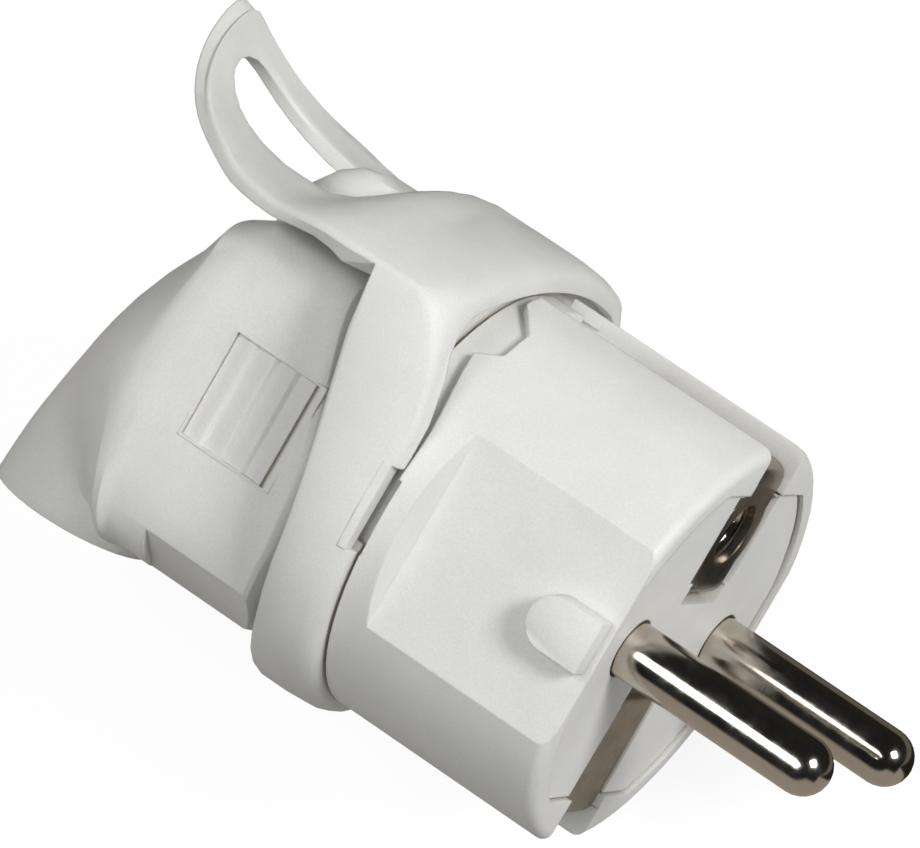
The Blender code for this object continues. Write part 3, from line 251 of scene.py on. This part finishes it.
class Nodes:
    """Builds up a node tree in steps."""

    def __init__(self, tree):
        self.tree = tree

    def add(self, kind, links=(), **values):
        """A new node, with its inputs set to values or linked to outputs."""
        made = self.tree.nodes.new(kind)
        for key, value in values.items():
            setattr(made, key, value)
        for socket, source in links:
            if isinstance(source, bpy.types.NodeSocket):
                self.tree.links.new(source, made.inputs[socket])
            else:
                made.inputs[socket].default_value = source
        return made

    def ranged(self, value, span, to):
        """A value carried from one span to another."""
        links = [(0, value), (1, span[0]), (2, span[1]), (3, to[0]), (4, to[1])]
        return self.add("ShaderNodeMapRange", links).outputs[0]

    def times(self, first, second):
        """The product of two values."""
        links = [(0, first), (1, second)]
        return self.add("ShaderNodeMath", links, operation="MULTIPLY").outputs[0]

    def mixed(self, share, first, second):
        """A colour between two, by share."""
        links = [("Factor", share), (6, (*first, 1)), (7, (*second, 1))]
        return self.add("ShaderNodeMix", links, data_type="RGBA").outputs[2]

    def by_ray(self, output, camera, metal, other):
        """Shows one shader to the camera, one in reflections and one to all other rays."""
        rays = self.add("ShaderNodeLightPath").outputs
        links = [(0, rays["Is Glossy Ray"]), (1, other), (2, metal)]
        lit = self.add("ShaderNodeMixShader", links).outputs[0]
        links = [(0, rays["Is Camera Ray"]), (1, lit), (2, camera)]
        seen = self.add("ShaderNodeMixShader", links).outputs[0]
        self.add(output, [("Surface", seen)])


class Surface(Nodes):
    """A material that is built up round one Principled shader."""

    def __init__(self, name, colour, metallic, roughness):
        self.material = bpy.data.materials.new(name)
        self.material.use_nodes = True
        super().__init__(self.material.node_tree)
        self.shader = self.tree.nodes["Principled BSDF"]
        self.shader.inputs["Base Color"].default_value = (*colour, 1)
        self.shader.inputs["Metallic"].default_value = metallic
        self.shader.inputs["Roughness"].default_value = roughness
        self.place = self.add("ShaderNodeTexCoord").outputs["Object"]

    def connect(self, socket, value):
        """Links a value to an input of the shader."""
        self.tree.links.new(value, self.shader.inputs[socket])

    def stretched(self, scale):
        """The object's coordinates, scaled on each axis."""
        mapping = self.add("ShaderNodeMapping", [("Vector", self.place), ("Scale", scale)])
        return mapping.outputs["Vector"]

    def noise(self, noise, place=None):
        """Noise from 0 to 1, of a feature size, detail and roughness."""
        size, detail, roughness = noise
        links = [
            ("Vector", place or self.place),
            ("Scale", 1.0 / size),
            ("Detail", detail),
            ("Roughness", roughness),
        ]
        return self.add("ShaderNodeTexNoise", links).outputs["Fac"]

    def shade(self, colour, amount):
        """A colour made darker and lighter by a value near 1."""
        links = [("Scale", amount), (0, colour)]
        return self.add("ShaderNodeVectorMath", links, operation="SCALE").outputs[0]

    def bump(self, height, bump, normal):
        """A bump of a depth and strength, on top of another normal."""
        depth, strength = bump
        links = [("Height", height), ("Distance", depth), ("Strength", strength)]
        links.append(("Normal", normal))
        return self.add("ShaderNodeBump", links).outputs["Normal"]

    def rounded_edges(self, radius):
        """A normal that is rounded over at the edges."""
        made = self.add("ShaderNodeBevel", [("Radius", radius)], samples=BEVEL_SAMPLES)
        return made.outputs["Normal"]

    def seam(self, span, share):
        """The share of painted shade, which grows towards seams and inner corners."""
        links = [("Distance", CREASE_REACH)]
        crease = self.add("ShaderNodeAmbientOcclusion", links, samples=CREASE_SAMPLES)
        return self.ranged(crease.outputs["AO"], span, share)


def plastic(name):
    """Off-white moulded plastic with a fine spark-eroded grain, and painted shade in its
    seams.
    """
    s = Surface(name, PLASTIC, 0.0, PLASTIC_MEAN_ROUGHNESS)
    mottle = s.ranged(s.noise(PLASTIC_MOTTLE), NOISE_SPAN, PLASTIC_MOTTLE_TONE)
    speckle = s.ranged(s.noise(PLASTIC_SPECKLE), NOISE_SPAN, PLASTIC_SPECKLE_TONE)
    # Painted shade: seams and inner corners go darker and browner, by ambient occlusion.
    seam = s.seam(PLASTIC_SHADE_SPAN, PLASTIC_SHADE_SHARE)
    base = s.mixed(seam, PLASTIC, PLASTIC_PAINTED_SHADE)
    s.connect("Base Color", s.shade(base, s.times(mottle, speckle)))
    gloss = s.ranged(s.noise(PLASTIC_GLOSS), NOISE_SPAN, PLASTIC_ROUGHNESS)
    s.connect("Roughness", gloss)
    normal = s.rounded_edges(EDGE_ROUNDING)
    normal = s.bump(s.noise(PLASTIC_WAVES), PLASTIC_WAVES_BUMP, normal)
    normal = s.bump(s.noise(PLASTIC_GRAIN), PLASTIC_GRAIN_BUMP, normal)
    s.connect("Normal", normal)
    s.shader.inputs["Specular IOR Level"].default_value = PLASTIC_SPECULAR
    return s.material


def nickel(name):
    """Polished nickel plate with faint turning marks, scratches, and a brown root that is
    partly stain and partly painted reflection of the plastic.
    """
    s = Surface(name, NICKEL, 1.0, NICKEL_MEAN_ROUGHNESS)
    along = s.add("ShaderNodeSeparateXYZ", [("Vector", s.place)]).outputs["X"]
    # Stain and painted reflection of the plastic: browner in blotches towards the root.
    root = s.ranged(along, NICKEL_ROOT_X, NICKEL_ROOT_SHARE)
    blotch = s.ranged(s.noise(NICKEL_BLOTCH), NICKEL_BLOTCH_SPAN, (0.0, 1.0))
    base = s.mixed(s.times(root, blotch), NICKEL, NICKEL_STAIN_AND_REFLECTION)
    cloud = s.ranged(s.noise(NICKEL_CLOUD), NOISE_SPAN, NICKEL_CLOUD_TONE)
    s.connect("Base Color", s.shade(base, cloud))
    smear = s.noise(NICKEL_SMEAR)
    s.connect("Roughness", s.ranged(smear, NICKEL_SMEAR_SPAN, NICKEL_ROUGHNESS))
    turning = s.noise(NICKEL_TURNING, s.stretched(NICKEL_TURNING_STRETCH))
    scratches = s.noise(NICKEL_SCRATCHES, s.stretched(NICKEL_SCRATCHES_STRETCH))
    normal = s.rounded_edges(NICKEL_ROUNDING)
    normal = s.bump(turning, NICKEL_TURNING_BUMP, normal)
    normal = s.bump(scratches, NICKEL_SCRATCHES_BUMP, normal)
    s.connect("Normal", normal)
    return s.material


def strip(name):
    """Pressed plated strip: rolling lines along its length, duller than the pins."""
    s = Surface(name, STRIP, 1.0, STRIP_MEAN_ROUGHNESS)
    blotch = s.ranged(s.noise(STRIP_BLOTCH), BLOTCH_SPAN, BLOTCH_SHARE)
    base = s.mixed(blotch, STRIP, STRIP_STAIN)
    lines = s.noise(STRIP_LINES, s.stretched(STRIP_LINES_STRETCH))
    s.connect("Base Color", s.shade(base, s.ranged(lines, NOISE_SPAN, STRIP_LINES_TONE)))
    s.connect("Roughness", s.ranged(lines, STRIP_LINES_SPAN, STRIP_ROUGHNESS))
    normal = s.rounded_edges(STRIP_ROUNDING)
    s.connect("Normal", s.bump(lines, STRIP_LINES_BUMP, normal))
    return s.material


def zinc(name):
    """Zinc-plated steel of screws, plates and nuts."""
    s = Surface(name, ZINC, 1.0, ZINC_MEAN_ROUGHNESS)
    blotch = s.ranged(s.noise(ZINC_BLOTCH), BLOTCH_SPAN, BLOTCH_SHARE)
    s.connect("Base Color", s.mixed(blotch, ZINC, ZINC_DULL))
    s.connect("Roughness", s.ranged(s.noise(ZINC_GLOSS), NOISE_SPAN, ZINC_ROUGHNESS))
    normal = s.rounded_edges(ZINC_ROUNDING)
    s.connect("Normal", s.bump(s.noise(ZINC_GRAIN), ZINC_GRAIN_BUMP, normal))
    return s.material


def rubber(name):
    """Soft matte plastic of the cable bush, with a little dust."""
    s = Surface(name, RUBBER, 0.0, RUBBER_MEAN_ROUGHNESS)
    dust = s.ranged(s.noise(RUBBER_DUST), BLOTCH_SPAN, RUBBER_DUST_TONE)
    # Painted shade: seams and inner corners go darker and browner, by ambient occlusion.
    base = s.mixed(s.seam(RUBBER_SHADE_SPAN, RUBBER_SHADE_SHARE), RUBBER, PLASTIC_PAINTED_SHADE)
    s.connect("Base Color", s.shade(base, dust))
    s.connect("Roughness", s.ranged(s.noise(RUBBER_GLOSS), NOISE_SPAN, RUBBER_ROUGHNESS))
    normal = s.rounded_edges(EDGE_ROUNDING)
    s.connect("Normal", s.bump(s.noise(RUBBER_GRAIN), RUBBER_GRAIN_BUMP, normal))
    return s.material


def placed(name, data):
    """A new object in the scene."""
    made = bpy.data.objects.new(name, data)
    bpy.context.collection.objects.link(made)
    return made


def solid(name, work):
    """An object from closed faces, with its normals outwards."""
    bmesh.ops.remove_doubles(work, verts=work.verts, dist=MERGE_DISTANCE)
    bmesh.ops.recalc_face_normals(work, faces=work.faces)
    mesh = bpy.data.meshes.new(name)
    work.to_mesh(mesh)
    work.free()
    return placed(name, mesh)


def modelled_copy(node, name):
    """A welded copy of a CAD node that stands for it and takes more detail."""
    work = bmesh.new()
    work.from_mesh(node.data)
    made = solid(name, work)
    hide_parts(node.name)
    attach(made, "root")
    return made


def swept(name, outlines):
    """A solid through matching closed outlines, capped at both ends."""
    work = bmesh.new()
    rings = [[work.verts.new(point) for point in outline] for outline in outlines]
    for ring, after in zip(rings, rings[1:]):
        for j in range(len(ring)):
            k = (j + 1) % len(ring)
            work.faces.new((ring[j], ring[k], after[k], after[j]))
    work.faces.new(rings[0])
    work.faces.new(rings[-1])
    return solid(name, work)


def block(name, side, xs, ys, zs):
    """A plain block on one side of the plug, from its span on each axis."""
    corners = [(xs[0], ys[0]), (xs[1], ys[0]), (xs[1], ys[1]), (xs[0], ys[1])]
    levels = sorted(side * z for z in zs)
    return swept(name, [[(x, y, z) for x, y in corners] for z in levels])


def join(piece, other, how):
    """Makes a piece the Boolean of two solids and uses the second up."""
    step = piece.modifiers.new(how.lower(), "BOOLEAN")
    step.operation = how
    step.solver = "EXACT"
    step.object = other
    graph = bpy.context.evaluated_depsgraph_get()
    mesh = bpy.data.meshes.new_from_object(piece.evaluated_get(graph))
    piece.modifiers.remove(step)
    old = piece.data
    mesh.name = old.name
    piece.data = mesh
    bpy.data.meshes.remove(old)
    bpy.data.objects.remove(other)


def clear_flakes(piece):
    """Takes away faces that lie back to back on the same corners."""
    work = bmesh.new()
    work.from_mesh(piece.data)
    bmesh.ops.remove_doubles(work, verts=work.verts, dist=MERGE_DISTANCE)
    bmesh.ops.triangulate(work, faces=work.faces)
    known = {}
    for face in work.faces:
        known.setdefault(frozenset(face.verts), []).append(face)
    flakes = [face for faces in known.values() if len(faces) > 1 for face in faces]
    bmesh.ops.delete(work, geom=flakes, context="FACES")
    work.to_mesh(piece.data)
    work.free()


def blend(low, high, value):
    """0 below low, 1 above high, and an even curve between."""
    t = min(max((value - low) / (high - low), 0.0), 1.0)
    return t * t * (3 - 2 * t)


def lip_front(y):
    """The front edge of the handle's lip at that height."""
    return LIP_FRONT_X - LIP_SWEEP * blend(LIP_SWEEP_LOW_Y, LIP_SWEEP_HIGH_Y, y)


def lip_z(x, y):
    """How far out the lip's rounded surface stands at a place near the cheek."""
    share = ((LIP_FRONT_X - x) / LIP_LENGTH) ** (1 / LIP_SPREAD)
    inset = LIP_INSET * (1 - math.sqrt(1 - (1 - share) ** LIP_FULLNESS))
    radius = COLLAR_RADIUS - inset
    return radius if y > 0 else math.sqrt(radius**2 - y**2)


def skirt_reach(span, angle):
    """How much of the way to the lip the skirt goes at an angle."""
    for (low, a), (high, b) in zip(span, span[1:]):
        if low <= angle <= high:
            return a + (b - a) * (angle - low) / (high - low)
    return 0.0


def skirt(span, foot, side):
    """A strip of the shell's wall between two angles from a cheek, back to the lip's edge."""
    step = 360.0 / SHELL_STEPS
    first, last = span[0][0] + SKIRT_LEAST_ANGLE, span[-1][0] - SKIRT_LEAST_ANGLE
    angles = {angle for angle, _ in span}
    angles |= {i * step for i in range(SHELL_STEPS) if first < i * step < last}
    front = SHELL_REAR_X + SKIRT_OVERLAP
    edge = SHELL_REAR_X + SKIRT_EDGE_OVERLAP
    inner = SKIRT_INNER_RADIUS / SHELL_RADIUS
    outlines = []
    for angle in sorted(angles):
        whole = math.floor(angle / step) * step
        share = (angle - whole) / step
        a, b = math.radians(whole), math.radians(whole + step)
        y = SHELL_RADIUS * (math.sin(a) * (1 - share) + math.sin(b) * share)
        z = SHELL_RADIUS * (math.cos(a) * (1 - share) + math.cos(b) * share)
        full = min(lip_front(y) + SKIRT_GAP, SHELL_REAR_X - SKIRT_LEAST_LENGTH)
        rear = edge + (full - edge) * skirt_reach(span, angle)
        outlines.append([
            (front, y, side * z),
            (rear, y, side * z),
            (rear, y * inner, side * z * inner),
            (front, y * inner * foot, side * z * inner * foot),
        ])
    return swept("skirt", outlines)


def shell(node):
    """The front shell, drawn back to the lip except in the two finger recesses."""
    made = modelled_copy(node, "front_shell_moulded")
    xs = (SLOT_REAR_X - SLOT_FLOOR_REAR, SHELL_REAR_X + SLOT_FLOOR_FRONT)
    ys = (SLOT_LOW_Y - SLOT_FLOOR_SIDE, SLOT_HIGH_Y + SLOT_FLOOR_SIDE)
    zs = (SLOT_FLOOR_Z - SLOT_FLOOR_THICKNESS, SLOT_FLOOR_Z)
    for side in (-1, 1):
        for foot, span in SKIRT_STRIPS:
            join(made, skirt(span, foot, side), "UNION")
        join(made, block("floor", side, xs, ys, zs), "UNION")
    clear_flakes(made)
    return made


def lip_filling(side):
    """The rear part of the slot in the lip, up to the lip's surface."""
    width = SLOT_HIGH_Y - SLOT_LOW_Y + 2 * FILLING_OVERLAP
    length = FILLING_FRONT_X - SLOT_REAR_X + FILLING_OVERLAP
    inner = side * (COLLAR_RADIUS - FILLING_DEPTH)
    xs = [
        SLOT_REAR_X - FILLING_OVERLAP + length * j / FILLING_STEPS_X
        for j in range(FILLING_STEPS_X + 1)
    ]
    outlines = []
    for i in range(FILLING_STEPS_Y + 1):
        y = SLOT_LOW_Y - FILLING_OVERLAP + width * i / FILLING_STEPS_Y
        outline = [(x, y, side * (lip_z(x, y) - FILLING_SINK)) for x in xs]
        outlines.append([*outline, (xs[-1], y, inner), (xs[0], y, inner)])
    return swept("filling", outlines)


def handle(node):
    """The pull handle with a shorter slot in its lip at each cheek."""
    made = modelled_copy(node, "pull_handle_moulded")
    for side in (-1, 1):
        join(made, lip_filling(side), "UNION")
    return made


def teeth_outline():
    """The teeth's outline in (x, z), from the pad's rear end to its front."""
    pitch = (PAD_FRONT_X - PAD_REAR_X) / TEETH
    floor = CHEEK_Z - PAD_FLOOR
    points = [(PAD_REAR_X - TEETH_OVERLAP, floor - TEETH_ROOT)]
    for i in range(TEETH):
        foot = PAD_REAR_X + pitch * i
        top = foot + pitch - TOOTH_CREST
        drop = foot + pitch - TOOTH_CREST * TOOTH_DROP[0]
        points += [
            (foot + TOOTH_FOOT_RUN, CHEEK_Z - TOOTH_DEPTH),
            (foot + pitch * TOOTH_MIDDLE[0], CHEEK_Z - TOOTH_DEPTH * TOOTH_MIDDLE[1]),
            (top, CHEEK_Z - TOOTH_DEPTH * TOOTH_TOP_SHARE),
            (drop, CHEEK_Z - TOOTH_DEPTH * TOOTH_DROP[1]),
        ]
    points[-1] = (PAD_FRONT_X - TOOTH_CREST, CHEEK_Z - TOOTH_DEPTH * LAST_TOOTH_SHARE)
    return points + [
        (PAD_FRONT_X - TOOTH_CREST, floor),
        (PAD_FRONT_X + TEETH_OVERLAP, floor),
        (PAD_FRONT_X + TEETH_OVERLAP, floor - TEETH_ROOT),
    ]


def hood(node):
    """The rear cover with its saw-toothed grip pads."""
    made = modelled_copy(node, "rear_cover_moulded")
    outline = teeth_outline()
    margin = PAD_HALF_HEIGHT + PAD_BACKING_MARGIN
    backing = (
        (PAD_REAR_X - PAD_BACKING_MARGIN, PAD_FRONT_X + PAD_BACKING_FRONT),
        (-margin, margin),
        (CHEEK_Z - PAD_BACKING, CHEEK_Z),
    )
    recess = (
        (PAD_REAR_X, PAD_FRONT_X),
        (-PAD_HALF_HEIGHT, PAD_HALF_HEIGHT),
        (CHEEK_Z - PAD_FLOOR, CHEEK_Z + PAD_CUT_REACH),
    )
    ends = (-PAD_HALF_HEIGHT - TEETH_OVERLAP, PAD_HALF_HEIGHT + TEETH_OVERLAP)
    for side in (-1, 1):
        join(made, block("backing", side, *backing), "UNION")
        join(made, block("recess", side, *recess), "DIFFERENCE")
        teeth = swept("teeth", [[(x, y, side * z) for x, z in outline] for y in ends])
        join(made, teeth, "UNION")
    return made


def smooth_group():
    """A node group that welds a mesh and shades it smooth, apart from its sharp edges."""
    group = bpy.data.node_groups.new("smooth_by_angle", "GeometryNodeTree")
    for way in ("INPUT", "OUTPUT"):
        group.interface.new_socket("Geometry", in_out=way, socket_type="NodeSocketGeometry")
    nodes = Nodes(group)
    mesh = nodes.add("NodeGroupInput").outputs[0]
    links = [("Geometry", mesh), ("Distance", MERGE_DISTANCE)]
    mesh = nodes.add("GeometryNodeMergeByDistance", links).outputs[0]
    links = [("Geometry", mesh), ("Name", "custom_normal")]
    mesh = nodes.add("GeometryNodeRemoveAttribute", links).outputs[0]
    mesh = nodes.add("GeometryNodeSetShadeSmooth", [("Geometry", mesh)]).outputs[0]
    angle = nodes.add("GeometryNodeInputMeshEdgeAngle").outputs["Unsigned Angle"]
    links = [("A", angle), ("B", math.radians(SMOOTH_ANGLE))]
    sharp = nodes.add("FunctionNodeCompare", links, operation="GREATER_THAN")
    sharp = sharp.outputs["Result"]
    links = [("Geometry", mesh), ("Selection", sharp), ("Shade Smooth", False)]
    mesh = nodes.add("GeometryNodeSetShadeSmooth", links, domain="EDGE").outputs[0]
    nodes.add("NodeGroupOutput", [(0, mesh)])
    return group


def dress(nodes):
    """Gives every CAD node its finish."""
    pieces = dict(nodes)
    pieces["front_shell"] = shell(nodes["front_shell"])
    pieces["rear_cover"] = hood(nodes["rear_cover"])
    pieces["pull_handle"] = handle(nodes["pull_handle"])
    finishes = dict.fromkeys(nodes, zinc("zinc_plate"))
    finishes.update(dict.fromkeys(PLASTIC_NODES, plastic("moulded_plastic")))
    finishes.update(dict.fromkeys(NICKEL_NODES, nickel("nickel_plate")))
    finishes.update(dict.fromkeys(STRIP_NODES, strip("plated_strip")))
    finishes.update(dict.fromkeys(RUBBER_NODES, rubber("bush_rubber")))
    group = smooth_group()
    for name, piece in pieces.items():
        piece.modifiers.new("smooth", "NODES").node_group = group
        if piece is not nodes[name]:
            piece.data.materials.clear()
            piece.data.materials.append(finishes[name])
        for place in piece.material_slots:
            place.material = finishes[name]


def lamp(name, aim, size, power):
    """A soft box in that direction from the plug, facing it."""
    data = bpy.data.lights.new(name, "AREA")
    data.shape = "RECTANGLE"
    data.size, data.size_y = size
    data.energy = power
    way = Vector(aim).normalized()
    turn = way.to_track_quat("Z", "Y").to_matrix().to_4x4()
    placed(name, data).matrix_world = Matrix.Translation(way * LAMP_DISTANCE) @ turn


def table_material():
    """White to the camera, with the plug's shadow, and a painted reflection of a dull banded
    table in the metal.
    """
    material = bpy.data.materials.new("table")
    material.use_nodes = True
    material.node_tree.nodes.clear()
    nodes = Nodes(material.node_tree)
    lit = nodes.add("ShaderNodeBsdfDiffuse", [("Color", (*FLOOR_COLOUR, 1))]).outputs[0]
    glow = nodes.add("ShaderNodeEmission", [("Strength", FLOOR_GLOW)]).outputs[0]
    white = nodes.add("ShaderNodeAddShader", [(0, lit), (1, glow)]).outputs[0]
    bounce = nodes.add("ShaderNodeBsdfDiffuse", [("Color", (*FLOOR_BOUNCE, 1))]).outputs[0]
    place = nodes.add("ShaderNodeTexCoord").outputs["Object"]
    across = nodes.add("ShaderNodeSeparateXYZ", [(0, place)]).outputs["Y"]
    share = nodes.ranged(across, PAINTED_REFLECTION_SPAN, (0.0, 1.0))
    bands = nodes.add("ShaderNodeValToRGB", [(0, share)])
    stops = bands.color_ramp.elements
    stops.remove(stops[1])
    stops[0].color = (*PAINTED_REFLECTION_TAN, 1)
    for y, colour in PAINTED_REFLECTION_BANDS:
        stop = (y - PAINTED_REFLECTION_SPAN[0]) / (PAINTED_REFLECTION_SPAN[1] - PAINTED_REFLECTION_SPAN[0])
        stops.new(stop).color = (*colour, 1)
    # Painted reflection: the bands glow, and only glossy rays see them.
    dull = nodes.add("ShaderNodeEmission", [("Color", bands.outputs[0])]).outputs[0]
    nodes.by_ray("ShaderNodeOutputMaterial", white, dull, bounce)
    return material


def table(low):
    """The plane that the plug lies on."""
    mesh = bpy.data.meshes.new("table")
    h = FLOOR_HALF_SIDE
    corners = [(-h, -h, low), (h, -h, low), (h, h, low), (-h, h, low)]
    mesh.from_pydata(corners, [], [(0, 1, 2, 3)])
    made = placed("table", mesh)
    mesh.materials.append(table_material())


def room():
    """A pale room with an even fill, and in the metal a painted reflection of a dark room with
    one dull wall.
    """
    world = bpy.data.worlds.new("room")
    bpy.context.scene.world = world
    world.use_nodes = True
    world.node_tree.nodes.clear()
    nodes = Nodes(world.node_tree)
    way = nodes.add("ShaderNodeTexCoord").outputs["Generated"]
    axes = nodes.add("ShaderNodeSeparateXYZ", [(0, way)]).outputs
    beside = nodes.ranged(axes["Y"], WALL_EDGE_Y, (1.0, 0.0))
    below = nodes.ranged(axes["Z"], WALL_TOP_Z, (1.0, 0.0))
    # Painted reflection: a dark room with one dull wall, which only glossy rays see.
    wall = nodes.mixed(nodes.times(beside, below), PAINTED_REFLECTION_DARK, PAINTED_REFLECTION_TAN)
    behind, fill, metal = (
        nodes.add("ShaderNodeBackground", links).outputs[0]
        for links in ([("Strength", BACKGROUND)], [("Strength", AMBIENT)], [("Color", wall)])
    )
    nodes.by_ray("ShaderNodeOutputWorld", behind, metal, fill)


def camera():
    """The camera of the photograph."""
    data = bpy.data.cameras.new("camera")
    data.sensor_width = SENSOR_WIDTH
    data.lens = FOCAL_PIXELS * SENSOR_WIDTH / IMAGE_WIDTH
    data.clip_start, data.clip_end = CAMERA_CLIP
    made = placed("camera", data)
    turn = Matrix((CAMERA_RIGHT, CAMERA_UP, CAMERA_BACK)).transposed().to_4x4()
    made.matrix_world = Matrix.Translation(Vector(CAMERA_PLACE)) @ turn
    bpy.context.scene.camera = made


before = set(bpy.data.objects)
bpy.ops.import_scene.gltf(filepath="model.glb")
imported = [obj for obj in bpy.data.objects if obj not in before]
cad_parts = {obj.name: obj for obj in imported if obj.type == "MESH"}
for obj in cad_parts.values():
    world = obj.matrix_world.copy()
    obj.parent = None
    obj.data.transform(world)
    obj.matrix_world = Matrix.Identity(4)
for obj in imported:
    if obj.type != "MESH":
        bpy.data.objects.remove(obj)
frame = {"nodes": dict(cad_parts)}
cad_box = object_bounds()
camera()
dress(frame["nodes"])
table(cad_box[0][2] - FLOOR_GAP)
room()
for soft_box in LAMPS:
    lamp(*soft_box)
bpy.context.scene.view_settings.view_transform = "Standard"
